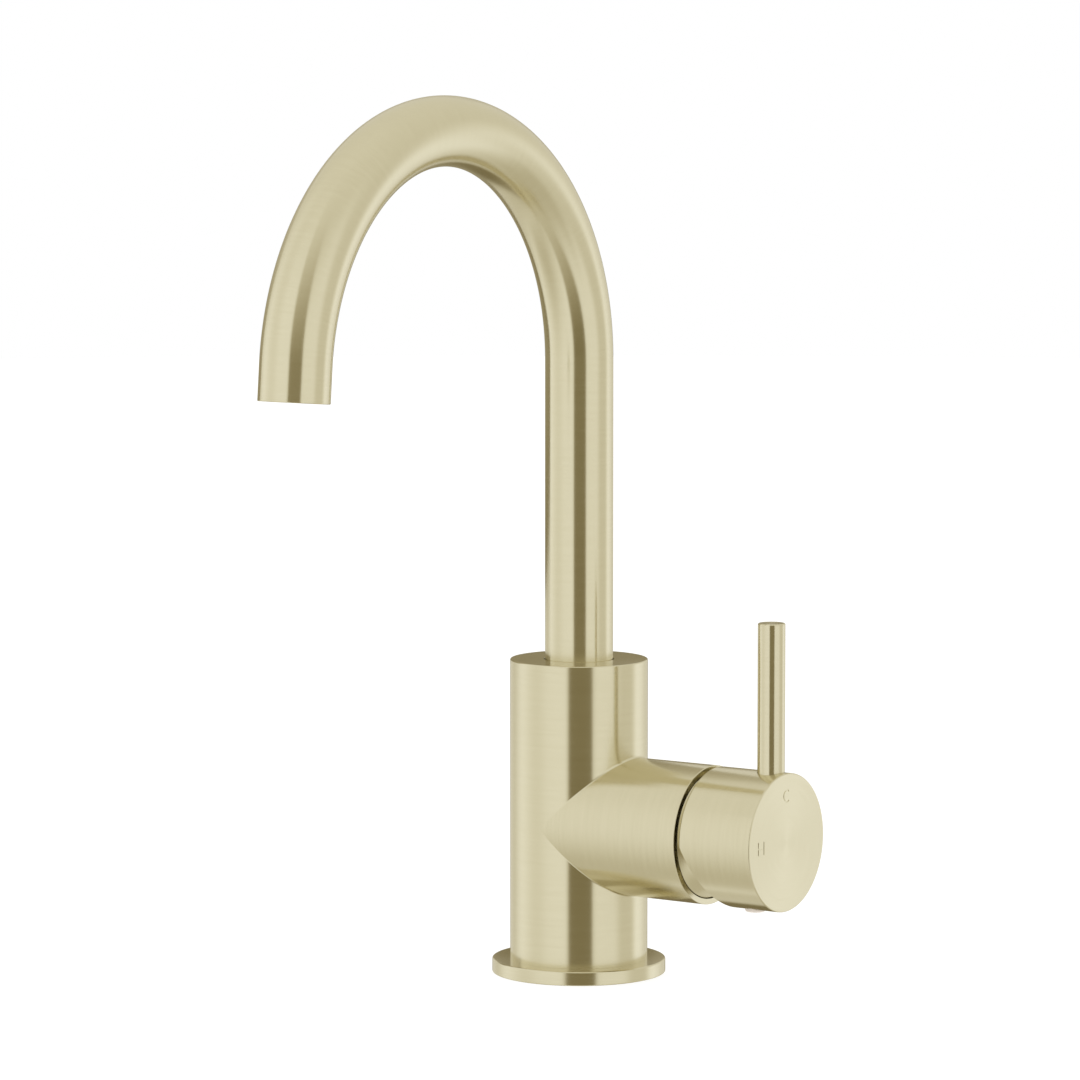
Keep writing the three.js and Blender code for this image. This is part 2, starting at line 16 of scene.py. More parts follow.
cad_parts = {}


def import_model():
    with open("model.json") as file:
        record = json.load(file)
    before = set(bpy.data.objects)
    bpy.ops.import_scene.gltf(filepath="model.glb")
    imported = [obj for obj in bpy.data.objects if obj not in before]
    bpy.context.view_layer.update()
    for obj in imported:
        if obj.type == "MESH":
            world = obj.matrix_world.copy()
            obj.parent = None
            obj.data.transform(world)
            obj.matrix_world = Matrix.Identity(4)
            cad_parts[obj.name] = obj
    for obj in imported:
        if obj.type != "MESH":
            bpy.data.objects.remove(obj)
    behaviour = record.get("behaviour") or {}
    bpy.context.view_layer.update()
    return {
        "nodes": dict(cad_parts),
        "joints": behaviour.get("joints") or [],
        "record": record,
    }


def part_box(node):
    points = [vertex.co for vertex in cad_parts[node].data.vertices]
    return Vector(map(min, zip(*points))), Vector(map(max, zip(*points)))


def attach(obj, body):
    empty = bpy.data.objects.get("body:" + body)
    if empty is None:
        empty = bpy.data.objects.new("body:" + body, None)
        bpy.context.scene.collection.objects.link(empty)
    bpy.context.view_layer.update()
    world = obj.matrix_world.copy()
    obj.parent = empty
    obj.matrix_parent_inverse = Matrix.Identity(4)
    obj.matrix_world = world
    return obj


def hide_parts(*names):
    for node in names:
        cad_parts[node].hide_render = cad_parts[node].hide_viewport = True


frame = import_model()

MM = 0.001
UV = "brush"
UP = Vector((0, 0, 1))
EAST = Vector((1, 0, 0))
NORTH = Vector((0, 1, 0))
JOINTS = {joint["name"]: joint for joint in frame["joints"]}
PIVOT = Vector(JOINTS["flow_tilt"]["pos_m"])
BARREL_AXIS = UP * PIVOT.z

# The CAD keeps this gap between pieces that meet. Its solids have plain edges, which are rounded here.
GAP = 0.3 * MM
SOFT_EDGE = 0.4 * MM
FINE_EDGE = 0.12 * MM
ROUND_STEPS = 4
# Two rigid pieces screwed together show this much of a seam.
SEAM = 0.01 * MM
# After a cut, a face takes its normals from a surface this near that faces nearly the same way.
ON_SURFACE = 0.02 * MM
SAME_WAY = 0.8
# Flat cut faces have no turns of their own: this many to the metre makes their brushing as fine.
FLAT_TURNS = 7

# The spout's bend and straight outlet; its radius follows from the CAD box.
BEND_ANGLE = math.radians(175)
OUTLET_LENGTH = 11.2 * MM
TUBE_WALL = 1.5 * MM


# ---- outlines and paths

def rounded(corners, closed=True):
    """An outline's points as (radius, height, normal): every corner (r, h, rounding) becomes an arc.

    The outline runs anticlockwise with the radius to the right, so its outside is on its right.
    """
    points = []
    count = len(corners)
    for i, (radius, height, rounding) in enumerate(corners):
        here = Vector((radius, height))
        before = Vector(corners[i - 1][:2])
        after = Vector(corners[(i + 1) % count][:2])
        if not closed and i == 0:
            before = None
        if not closed and i == count - 1:
            after = None
        points += corner_points(before, here, after, rounding)
    return points


def corner_points(before, here, after, rounding):
    """The arc at one corner, or a plain end where the outline starts or stops."""
    if before is None or after is None:
        along = (after - here if before is None else here - before).normalized()
        return [(here, Vector((along.y, -along.x)))]
    arriving, leaving = here - before, after - here
    reach = 0.45 * min(arriving.length, leaving.length)
    arriving.normalize()
    leaving.normalize()
    first, last = Vector((arriving.y, -arriving.x)), Vector((leaving.y, -leaving.x))
    turn = first.angle_signed(last)
    half = math.tan(abs(turn) / 2)
    rounding = min(rounding, reach / max(half, 1e-6))
    start = here - arriving * rounding * half
    side = -1 if arriving.cross(leaving) > 0 else 1
    centre = start + first * rounding * side
    points = []
    for k in range(ROUND_STEPS + 1):
        normal = first.slerp(last, k / ROUND_STEPS)
        points.append((centre - normal * rounding * side, normal))
    return points


def corners(*places, edge=FINE_EDGE):
    """Corners in metres: (r, h) takes the plain edge rounding, (r, h, rounding) its own."""
    return [place if len(place) == 3 else (*place, edge) for place in places]


def straight(origin, along, side):
    """A straight path: the point and the three directions at a height along it."""
    up = along.cross(side)
    return lambda height: (origin + along * height, along, side, up)


def upright(x=0.0, y=0.0):
    return straight(Vector((x, y, 0)), UP, EAST)


def barrelwise(y=0.0, z=0.0):
    return straight(BARREL_AXIS + Vector((0, y, z)), EAST, NORTH)


COLUMN = upright()
BARREL = barrelwise()
TILT_AXIS = straight(PIVOT, NORTH, UP)


def around(count):
    """Evenly spaced turns, once round."""
    return [2 * math.pi * k / count for k in range(count)]


class SpoutPath:
    """The spout's centre line: up, round the bend towards -Y, and down to the outlet."""

    def __init__(self):
        low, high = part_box("spout_tube")
        self.tube_radius = high.x
        across = -low.y + self.tube_radius * math.cos(BEND_ANGLE) - OUTLET_LENGTH * math.sin(BEND_ANGLE)
        self.bend_radius = across / (1 - math.cos(BEND_ANGLE))
        self.start = low.z
        self.bend_start = high.z - self.tube_radius - self.bend_radius
        self.rise = self.bend_start - self.start
        self.bend_length = self.bend_radius * BEND_ANGLE
        self.length = self.rise + self.bend_length + OUTLET_LENGTH

    def __call__(self, height):
        turned_by = min(max(height - self.rise, 0) / self.bend_radius, BEND_ANGLE)
        rise = min(height, self.rise)
        run = max(height - self.rise - self.bend_length, 0)
        along = Vector((0, -math.sin(turned_by), math.cos(turned_by)))
        bend = Vector((0, math.cos(turned_by) - 1, math.sin(turned_by))) * self.bend_radius
        origin = Vector((0, 0, self.start + rise)) + bend + along * run
        return origin, along, EAST, along.cross(EAST)


SPOUT = SpoutPath()


def outlet_path():
    """The aerator's path: from the outlet's face back up the tube."""
    origin, along, side, _ = SPOUT(SPOUT.length)
    return straight(origin, -along, side)


# ---- meshes

class Skin:
    """A mesh in the making. A ring is (vertex numbers, corner normals, u); a band joins two rings."""

    def __init__(self):
        self.verts, self.faces, self.uvs, self.normals = [], [], [], []

    def ring(self, places, normals, along):
        first = len(self.verts)
        self.verts += places
        return list(range(first, len(self.verts))), normals, along

    def band(self, near, far):
        """Faces between two rings, v running once round; a ring of one vertex is a pole."""
        segments = max(len(near[0]), len(far[0]))
        for k in range(segments):
            after = (k + 1) % segments
            v0, v1 = k / segments, (k + 1) / segments
            steps = [(near, k, v0), (near, after, v1), (far, after, v1), (far, k, v0)]
            if len(near[0]) == 1:
                steps = steps[1:]
            if len(far[0]) == 1:
                steps = steps[:3]
            corner = [(ring, 0 if len(ring[0]) == 1 else i, v) for ring, i, v in steps]
            numbers = [ring[0][i] for ring, i, _ in corner]
            before = numbers[-1:] + numbers
            corner = [c for c, number, last in zip(corner, numbers, before) if number != last]
            if len(corner) < 3:
                continue
            self.faces.append([ring[0][i] for ring, i, _ in corner])
            self.normals += [ring[1][i] for ring, i, _ in corner]
            for ring, i, v in corner:
                self.uvs.append((ring[2][i] if isinstance(ring[2], list) else ring[2], v))

    def sweep(self, points, path, segments, along=0.0, close=False):
        """Joined rings for an outline's points swept round a path; returns the first and the last."""
        rings = []
        for i, (point, normal) in enumerate(points):
            if i:
                along += (point - points[i - 1][0]).length
            origin, forward, side, up = path(point.y)
            if point.x < 1e-7:
                rings.append(self.ring([origin], [forward * normal.y], along))
                continue
            outs = [side * math.cos(turn) + up * math.sin(turn) for turn in around(segments)]
            places = [origin + out * point.x for out in outs]
            normals = [out * normal.x + forward * normal.y for out in outs]
            rings.append(self.ring(places, normals, along))
        for near, far in zip(rings, rings[1:]):
            self.band(near, far)
        if close:
            gap = (points[0][0] - points[-1][0]).length
            self.band(rings[-1], (rings[0][0], rings[0][1], along + gap))
        return rings[0], rings[-1]

    def piece(self, name):
        mesh = bpy.data.meshes.new(name)
        mesh.from_pydata(self.verts, [], self.faces)
        layer = mesh.uv_layers.new(name=UV)
        layer.data.foreach_set("uv", [value for uv in self.uvs for value in uv])
        smooth(mesh, self.normals)
        return shown(name, mesh)


def turned(name, outline, path, segments=160, step=None):
    """A piece swept from an outline that closes on itself, or that starts and ends on the axis."""
    closed = outline[0][0] > 0
    points = rounded(outline, closed)
    if step:
        points = subdivided(points, step, closed)
    skin = Skin()
    skin.sweep(points, path, segments, close=closed)
    return skin.piece(name)


def subdivided(points, step, closed):
    """Extra points on long straight stretches, so that they can follow a bent path."""
    dense = []
    count = len(points) if closed else len(points) - 1
    for i in range(count):
        (here, normal), (there, _) = points[i], points[(i + 1) % len(points)]
        pieces = max(1, math.ceil((there - here).length / step))
        dense += [(here.lerp(there, k / pieces), normal) for k in range(pieces)]
    return dense if closed else dense + [points[-1]]


def rectangle(x0, y0, x1, y1):
    return [(x0, y0), (x1, y0), (x1, y1), (x0, y1)]


def prism(name, outline, depth, matrix):
    """A flat outline of (x, y) points pushed along z by a depth, then placed by a matrix."""
    bm = bmesh.new()
    face = bm.faces.new([bm.verts.new((x, y, 0)) for x, y in outline])
    pushed = bmesh.ops.extrude_face_region(bm, geom=[face])["geom"]
    far = [v for v in pushed if isinstance(v, bmesh.types.BMVert)]
    bmesh.ops.translate(bm, verts=far, vec=(0, 0, depth))
    bmesh.ops.recalc_face_normals(bm, faces=bm.faces)
    layer = bm.loops.layers.uv.new(UV)
    for face in bm.faces:
        for loop in face.loops:
            x, y, z = loop.vert.co
            level = abs(face.normal.z) > 0.5
            loop[layer].uv = (x, y * FLAT_TURNS) if level else (z, (x + y) * FLAT_TURNS)
    bmesh.ops.transform(bm, matrix=matrix, verts=bm.verts)
    mesh = bpy.data.meshes.new(name)
    bm.to_mesh(mesh)
    bm.free()
    return shown(name, mesh)


def smooth(mesh, normals):
    mesh.polygons.foreach_set("use_smooth", [True] * len(mesh.polygons))
    mesh.normals_split_custom_set(normals)


def shown(name, mesh):
    piece = bpy.data.objects.new(name, mesh)
    bpy.context.scene.collection.objects.link(piece)
    return piece


def cut(piece, cutters, operation="DIFFERENCE"):
    """Cuts shapes out of a piece, or joins them on, and keeps the exact normals of what was there."""
    sources = [(normal_source(piece), 1)]
    for cutter in cutters:
        modifier = piece.modifiers.new("cut", "BOOLEAN")
        modifier.operation = operation
        modifier.solver = "EXACT"
        modifier.object = cutter
        sources.append((normal_source(cutter), -1 if operation == "DIFFERENCE" else 1))
    bpy.context.view_layer.update()
    evaluated = piece.evaluated_get(bpy.context.evaluated_depsgraph_get())
    mesh = bpy.data.meshes.new_from_object(evaluated)
    piece.modifiers.clear()
    piece.data = mesh
    smooth(mesh, [exact_normal(mesh, p, v, sources) for p in mesh.polygons for v in p.vertices])
    for cutter in cutters:
        bpy.data.objects.remove(cutter)
    return piece


def normal_source(piece):
    """A piece's faces for lookup, with their corners and corner normals."""
    mesh = piece.data
    places = [v.co.copy() for v in mesh.vertices]
    faces = [tuple(p.vertices) for p in mesh.polygons]
    corner_normals = [n.vector.copy() for n in mesh.corner_normals]
    starts = [p.loop_start for p in mesh.polygons]
    return BVHTree.FromPolygons(places, faces), places, faces, corner_normals, starts


def exact_normal(mesh, polygon, vertex, sources):
    """The normal that the surface under a face's corner had before the cut."""
    place = mesh.vertices[vertex].co
    inside = place.lerp(polygon.center, 1e-3)
    best, best_gap = polygon.normal.copy(), ON_SURFACE
    for (tree, places, faces, corner_normals, starts), sign in sources:
        _, _, index, gap = tree.find_nearest(inside)
        if index is None or gap > best_gap:
            continue
        weights = poly_3d_calc([places[i] for i in faces[index]], inside)
        start = starts[index]
        found = sum((corner_normals[start + k] * w for k, w in enumerate(weights)), Vector()) * sign
        if found.length > 0 and found.normalized().dot(polygon.normal) > SAME_WAY:
            best, best_gap = found.normalized(), gap
    return best


# ---- sizes read from the frame

Girth = namedtuple("Girth", "inner outer low high")


def girth(node, path):
    """A CAD node's inner and outer radius about a straight path, and its low and high end along it."""
    origin, along, _, _ = path(0)
    offsets = [v.co - origin for v in frame["nodes"][node].data.vertices]
    heights = [offset.dot(along) for offset in offsets]
    radii = [(offset - along * height).length for offset, height in zip(offsets, heights)]
    return Girth(min(radii), max(radii), min(heights), max(heights))


FLANGE_HOLE, FLANGE_RADIUS, _, FLANGE_TOP = girth("base_flange", COLUMN)
BARREL_END, BODY_RADIUS, BODY_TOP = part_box("main_body")[1]
SOCKET_RADIUS = girth("spout_thrust_ring", COLUMN).outer + GAP
SOCKET_FLOOR = girth("spout_thrust_ring", COLUMN).low - GAP
NUT_BORE_RADIUS = girth("retaining_nut", BARREL).outer + GAP
MOUTH_RADIUS = girth("dome_collar", BARREL).outer + GAP
MOUTH_START = girth("dome_collar", BARREL).low - GAP
SEAT_RADIUS = girth("cartridge_case", BARREL).outer + GAP
SEAT_FLOOR = girth("port_seal_cold", BARREL).low - GAP
LOCK_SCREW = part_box("spout_lock_screw")
LOCK_HEIGHT = (LOCK_SCREW[0].z + LOCK_SCREW[1].z) / 2
NUT_RUNOUT = 2.3 * MM
NUT_THREAD = 3 * MM
VEE_FILLET = 0.8 * MM
# Threaded holes: radius between the grooves, radius in them, and pitch.
HOSE_THREAD = (4.5 * MM, 5.0 * MM, 1.0 * MM)
STUD_THREAD = (3.4 * MM, 4.0 * MM, 1.25 * MM)
NUT_PITCH = 1.0 * MM
GRUB_PITCH = 0.8 * MM
GRUB_BORE = 2.3 * MM
BALL_RADIUS = 2.9 * MM
NECK_RADIUS = 1.7 * MM
LOCK_GROOVE = 1.5 * MM
# The cartridge's locating pegs, by clock angle and distance out, and its drive pegs' distance out.
PEGS = ((290, 12 * MM), (150, 12 * MM))
DRIVE_OUT = 8 * MM
SLOT_HALF = 9 * MM
# The handle's wall, how deep it is hollow, and the slope of its cut-away rim, which lets it tilt.
HANDLE_WALL = 1.7 * MM
HANDLE_DEPTH = 8.8 * MM
RELIEF_ANGLE = math.radians(24.4)
# The two letters on its face, and how far from the middle they are.
ENGRAVING = 0.12 * MM
LETTER_HEIGHT = 4.2 * MM
LETTER_STROKE = 0.45 * MM
MARK_OUT = 15.1 * MM
# The aerator's ring, its key's notches, and its insert with jets.
RING_RADIUS = 9.25 * MM
RING_BORE = 7.6 * MM
RING_LENGTH = 9.5 * MM
NOTCH_HALF = 0.9 * MM
NOTCH_DEPTH = 1.7 * MM
INSERT_RADIUS = 7.3 * MM
JET_PITCH = 2.15 * MM
JET_RADIUS = 0.95 * MM


# ---- pieces

def flange():
    outline = corners(
        (FLANGE_HOLE, 0), (FLANGE_RADIUS, 0, SOFT_EDGE), (FLANGE_RADIUS, FLANGE_TOP, 1.2 * SOFT_EDGE),
        (FLANGE_HOLE, FLANGE_TOP),
    )
    piece = turned("flange", outline, COLUMN)
    inner, outer, _, top = girth("base_seal", COLUMN)
    groove = corners(
        (inner - GAP, -MM), (outer + GAP, -MM), (outer + GAP, top + GAP), (inner - GAP, top + GAP)
    )
    return cut(piece, [turned("groove", groove, COLUMN)])


def body():
    """The column and the barrel, which cross in a vee: there x is the height over the barrel's axis."""
    segments = 192
    foot = FLANGE_HOLE - GAP
    shoulder = FLANGE_TOP + SEAM
    margin = 4 * MM
    low, high = shoulder + margin, BODY_TOP - margin
    skin = Skin()
    lower = rounded(corners(
        (0, 0), (foot, 0), (foot, shoulder), (BODY_RADIUS, shoulder, 0), (BODY_RADIUS, low),
    ), closed=False)
    _, under = skin.sweep(lower, COLUMN, segments)
    upper = rounded(corners(
        (BODY_RADIUS, high), (BODY_RADIUS, BODY_TOP, SOFT_EDGE),
        (SOCKET_RADIUS, BODY_TOP, 0.5 * SOFT_EDGE),
        (SOCKET_RADIUS, SOCKET_FLOOR), (0, SOCKET_FLOOR),
    ), closed=False)
    over, _ = skin.sweep(upper, COLUMN, segments, under[2] + high - low)
    start = BODY_RADIUS + 2 * MM
    thread_end = MOUTH_START - NUT_RUNOUT - NUT_THREAD
    barrel = rounded(corners(
        (BODY_RADIUS, start), (BODY_RADIUS, BARREL_END, 0.6 * SOFT_EDGE), (MOUTH_RADIUS, BARREL_END),
        (MOUTH_RADIUS, MOUTH_START), (NUT_BORE_RADIUS, MOUTH_START), (NUT_BORE_RADIUS, thread_end),
        (SEAT_RADIUS, thread_end), (SEAT_RADIUS, SEAT_FLOOR), (0, SEAT_FLOOR),
    ), closed=False)
    mouth, _ = skin.sweep(barrel, BARREL, segments, start)

    vees = vee_rings(skin, under, low, segments)
    skin.band(under, vees[0])
    skin.band(vees[1], over)
    fillet = fillet_rings(skin, vees, segments)
    for near, far in zip(fillet, fillet[1:]):
        skin.band(near, far)
    skin.band(fillet[-1], mouth)
    return cut(skin.piece("body"), body_holes())


def vee_rings(skin, under, low, segments):
    """The column's rings below and above the barrel; behind it they are one ring at the barrel's height."""
    outs = [Vector((math.cos(turn), math.sin(turn), 0)) for turn in around(segments)]
    rings = []
    for sign in (-1, 1):
        heights = [PIVOT.z + sign * (BODY_RADIUS * max(out.x, 0) + vee_setback(out.x)) for out in outs]
        places = [out * BODY_RADIUS + UP * height for out, height in zip(outs, heights)]
        rings.append(skin.ring(places, outs, [under[2] + height - low for height in heights]))
    shared = [a if out.x < 1e-9 else b for out, a, b in zip(outs, rings[0][0], rings[1][0])]
    return rings[0], (shared, rings[1][1], rings[1][2])


def vee_setback(slope):
    """How far the vee's fillet reaches from the corner; the slope is the column normal's eastward part."""
    between = math.acos(1 - max(slope, 0) ** 2)
    return VEE_FILLET * math.tan(between / 2)


def fillet_rings(skin, vees, segments):
    """Rings round the barrel, from the fillet's edge on the column to its edge on the barrel."""
    quarter = segments // 4
    rings = []
    for step in range(ROUND_STEPS + 1):
        part = step / ROUND_STEPS
        numbers, normals, reaches = [], [], []
        for k, turn in enumerate(around(segments)):
            above = math.sin(turn) >= 0
            shared = vees[above][0][(quarter - k if above else quarter + k) % segments]
            outward = Vector((0, math.cos(turn), math.sin(turn)))
            slope = abs(outward.z)
            setback = vee_setback(slope)
            lift = UP * (setback if above else -setback)
            corner = BARREL_AXIS + (outward + EAST * slope) * BODY_RADIUS
            place = corner + lift * (1 - part) ** 2 + EAST * setback * part ** 2
            if 0 < step and setback > 1e-7:
                shared = skin.ring([place], None, 0)[0][0]
            numbers.append(shared)
            normals.append(Vector((slope, outward.y, 0)).lerp(outward, part).normalized())
            reaches.append(place.x)
        rings.append((numbers, normals, reaches))
    return rings


def threaded_hole(name, sizes, depth, path):
    """A cutter for a threaded hole: a countersink, then grooves one pitch apart."""
    core, crest, pitch = sizes
    mouth, start = crest + 0.3 * MM, 0.8 * MM
    places = [(0, -MM), (mouth, -MM), (mouth, 0), (core, start)]
    for k in range(int((depth - 2 * MM) / pitch)):
        base = start + k * pitch
        places += [(crest, base + 0.45 * pitch), (core, base + 0.9 * pitch), (core, base + pitch)]
    places += [(core, depth), (0, depth + 0.6 * core)]
    return turned(name, corners(*places, edge=0.02 * MM), path, 48)


def body_holes():
    """The hose ports and the stud hole in the foot, and the lock screw's hole in the back."""
    openings = {o["name"]: o["box_m"] for o in frame["record"]["physics"]["openings"]}
    holes = []
    threads = [("hot_hose_port", HOSE_THREAD), ("cold_hose_port", HOSE_THREAD), ("stud_hole", STUD_THREAD)]
    for name, sizes in threads:
        (x0, y0, _), (x1, y1, top) = openings[name]
        holes.append(threaded_hole(name, sizes, top, upright((x0 + x1) / 2, (y0 + y1) / 2)))
    bore = LOCK_SCREW[1].x + GAP
    backwards = straight(UP * LOCK_HEIGHT, NORTH, UP)
    holes.append(bolt("lock_bore", backwards, bore, SOCKET_RADIUS - MM, BODY_RADIUS + MM, segments=48))
    return holes


def lock_screw():
    """The screw in the body's back: its narrow point stands in the spigot's groove."""
    low, high = LOCK_SCREW
    radius = high.x
    point = 0.65 * radius
    outline = corners(
        (0, low.y), (point, low.y, 0.3 * MM), (point, low.y + 2.2 * MM), (radius, low.y + 2.6 * MM),
        (radius, high.y, 0.3 * MM), (0, high.y),
    )
    backwards = straight(UP * LOCK_HEIGHT, NORTH, UP)
    piece = turned("lock_screw", outline, backwards, 64)
    return cut(piece, [hexagon_key(backwards, high.y - 2.5 * MM, 1.0 * MM)])


def placed(path, height=0.0):
    """The matrix that stands a shape on a straight path at a height, its z along the path."""
    origin, along, side, up = path(height)
    matrix = Matrix((side, up, along)).transposed().to_4x4()
    matrix.translation = origin
    return matrix


def hexagon_key(path, height, radius, depth=5 * MM):
    points = [(radius * math.cos(turn), radius * math.sin(turn)) for turn in around(6)]
    return prism("key", points, depth, placed(path, height))


def flats(path, count, distance, low, high):
    """Cutters that leave flats at a distance from a path, evenly round it."""
    far = 3 * distance
    slab = rectangle(distance, -far, far, far)
    turns = [Matrix.Rotation(turn, 4, "Z") for turn in around(count)]
    return [prism("flat", slab, high - low, placed(path, low) @ turn) for turn in turns]


def bolt_thread(crest, pitch, low, high):
    """Corners of a thread on the outside of a piece, from one height to another."""
    core = crest - 0.5 * pitch
    count = int((high - low) / pitch)
    places = []
    for k in range(count):
        base = low + k * pitch
        places += [(crest, base + 0.1 * pitch), (core, base + 0.5 * pitch), (core, base + 0.6 * pitch)]
    return corners(*places, (crest, low + count * pitch), edge=0.04 * MM)


def dome():
    """The collar in the barrel's mouth: a sphere about the tilting axis, open for the lever."""
    inner, skirt, back, front = girth("dome_collar", BARREL)
    vertices = frame["nodes"]["dome_collar"].data.vertices
    radius = math.dist(next(v.co for v in vertices if v.co.x > BARREL_END), PIVOT)
    first = math.acos((BARREL_END - PIVOT.x) / radius)
    last = math.acos((front - PIVOT.x) / radius)
    turns = [first + (last - first) * k / 8 for k in range(9)]
    arc = [(radius * math.sin(t), PIVOT.x + radius * math.cos(t), 3 * MM) for t in turns]
    wall = NUT_BORE_RADIUS + 0.1 * MM
    outline = corners((wall, back), (skirt, back), (skirt, BARREL_END - 0.1 * MM)) + arc[:-1]
    outline += corners(
        (*arc[-1][:2], 0.2 * MM), (inner, front, 0.3 * MM), (inner, front - 1.2 * MM),
        (wall, BARREL_END - 1.5 * MM),
    )
    return turned("dome", outline, BARREL)


def letter_matrix(y, z):
    """A letter's place on the handle's face: x to the right, y up, z out of the face."""
    return placed(barrelwise(y, z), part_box("handle_shell")[1].x - ENGRAVING)


def letter_c():
    """The cold mark: an open ring."""
    outer, inner = LETTER_HEIGHT / 2, LETTER_HEIGHT / 2 - LETTER_STROKE
    turns = [math.radians(50 + 260 * k / 20) for k in range(21)]
    outline = [(outer * math.cos(t), outer * math.sin(t)) for t in turns]
    outline += [(inner * math.cos(t), inner * math.sin(t)) for t in reversed(turns)]
    return prism("letter_c", outline, MM, letter_matrix(0, MARK_OUT))


def letter_h():
    """The hot mark: two posts and a bar."""
    half, wide, bar = LETTER_HEIGHT / 2, 0.44 * LETTER_HEIGHT, LETTER_STROKE / 2
    inside = wide - LETTER_STROKE
    outline = [(-wide, -half), (-inside, -half), (-inside, -bar), (inside, -bar)]
    outline += rectangle(inside, -half, wide, half)
    outline += [(inside, bar), (-inside, bar), (-inside, half), (-wide, half)]
    return prism("letter_h", outline, MM, letter_matrix(-MARK_OUT, 0))


def post(node):
    """An upright round node's path, radius, foot and top."""
    low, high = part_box(node)
    return upright((low.x + high.x) / 2), high.y, low.z, high.z


def handle():
    """The hollow handle, with its rim cut back below, and bores for its pin, screw, plug and stem."""
    low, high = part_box("handle_shell")
    radius = high.y
    bore, floor_x = radius - HANDLE_WALL, low.x + HANDLE_DEPTH
    outline = corners(
        (0, floor_x), (bore, floor_x, MM), (bore, low.x), (radius, low.x, 3.2 * SOFT_EDGE),
        (radius, high.x, SOFT_EDGE), (0, high.x),
    )
    piece = turned("handle", outline, BARREL, 192)
    reach = radius + 3 * MM
    before, far = low.x - 3 * MM, low.x + reach * math.tan(RELIEF_ANGLE)
    relief = [(before, 0), (before, -reach), (far, -reach), (low.x, 0)]
    standing = Matrix.Rotation(math.pi / 2, 4, "X")
    standing.translation = Vector((0, reach, PIVOT.z))
    pin_path, pin_radius, pin_foot, _ = post("lever_pin")
    plug_path, plug_radius, _, plug_top = post("handle_plug")
    bottom, above = PIVOT.z - radius - MM, 100 * MM
    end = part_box("lever_stem")[1]
    cutters = [
        prism("relief", relief, 2 * reach, standing),
        bolt("pin_bore", pin_path, pin_radius + 0.1 * MM, pin_foot - GAP, above, segments=96),
        bolt("plug_bore", plug_path, plug_radius + 0.15 * MM, bottom, plug_top + GAP),
        bolt("grub_bore", plug_path, GRUB_BORE, bottom, PIVOT.z, segments=48),
        box_cutter("stem_socket", (floor_x - MM, -end.y - GAP, 2 * PIVOT.z - end.z - GAP),
                   (end.x + GAP, end.y + GAP, end.z + GAP)),
        letter_c(),
        letter_h(),
    ]
    return cut(piece, cutters)


def box_cutter(name, low, high):
    outline = rectangle(*low[:2], *high[:2])
    return prism(name, outline, high[2] - low[2], Matrix.Translation((0, 0, low[2])))


def pin():
    return bolt("pin", *post("lever_pin"), top=0.45 * MM, segments=96)


def plug():
    return bolt("plug", *post("handle_plug"), 0.7 * MM, top=FINE_EDGE)


def spout():
    outer, inner = SPOUT.tube_radius, SPOUT.tube_radius - TUBE_WALL
    outline = corners(
        (inner, 0), (outer, 0), (outer, SPOUT.length, 0.3 * MM), (inner, SPOUT.length, 0.3 * MM)
    )
    return turned("spout_pipe", outline, SPOUT, 112, step=2 * MM)


def aerator_housing():
    path = outlet_path()
    outline = corners(
        (RING_BORE, 0.9 * MM, 0.3 * MM), (RING_RADIUS, 0.5 * MM, 0.3 * MM), (RING_RADIUS, RING_LENGTH),
        (RING_BORE, RING_LENGTH),
    )
    piece = turned("aerator_ring", outline, path, 96)
    notch = rectangle(7 * MM, -NOTCH_HALF, 9.8 * MM, NOTCH_HALF)
    slots = []
    for turn in around(4):
        matrix = placed(path) @ Matrix.Rotation(turn + math.pi / 4, 4, "Z")
        slots.append(prism("notch", notch, NOTCH_DEPTH, matrix))
    return cut(piece, slots)


def aerator_core():
    """The aerator's insert: a disc with a honeycomb of jets."""
    path = outlet_path()
    front, back = 2.2 * MM, 7 * MM
    piece = bolt("aerator_insert", path, INSERT_RADIUS, front, back, 0.4 * MM, top=FINE_EDGE, segments=96)
    ways = [(JET_RADIUS * math.sin(turn), JET_RADIUS * math.cos(turn)) for turn in around(6)]
    jets = []
    for row in range(-3, 4):
        for column in range(-3, 4):
            x = JET_PITCH * (column + 0.5 * (row % 2))
            y = JET_PITCH * row * math.sqrt(3) / 2
            if math.hypot(x, y) < INSERT_RADIUS - 1.1 * MM:
                hexagon = [(x + across, y + up) for across, up in ways]
                jets.append(prism("jet", hexagon, 4 * MM, placed(path, MM)))
    return cut(piece, [merged("jets", jets)])


def merged(name, pieces):
    """Several cutters that stay apart, as one."""
    bm = bmesh.new()
    for piece in pieces:
        bm.from_mesh(piece.data)
        bpy.data.objects.remove(piece)
    mesh = bpy.data.meshes.new(name)
    bm.to_mesh(mesh)
    bm.free()
    return shown(name, mesh)


def o_ring(name, node, path):
    """A rubber ring of round section, as thick as its CAD node."""
    inner, outer, low, high = girth(node, path)
    middle = Vector(((inner + outer) / 2, (low + high) / 2))
    ways = [Vector((math.cos(turn), math.sin(turn))) for turn in around(16)]
    skin = Skin()
    skin.sweep([(middle + way * (high - low) / 2, way) for way in ways], path, 96, close=True)
    return skin.piece(name)


def port_path(node):
    """The path through a port, from its seal's place."""
    low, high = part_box(node)
    return barrelwise((low.y + high.y) / 2, (low.z + high.z) / 2 - PIVOT.z)


def washer(name, node, path, edge):
    """A flat ring with rounded edges, the size of its CAD node."""
    inner, outer, low, high = girth(node, path)
    outline = [(inner, low, edge), (outer, low, edge), (outer, high, edge), (inner, high, edge)]
    return turned(name, outline, path, 128)


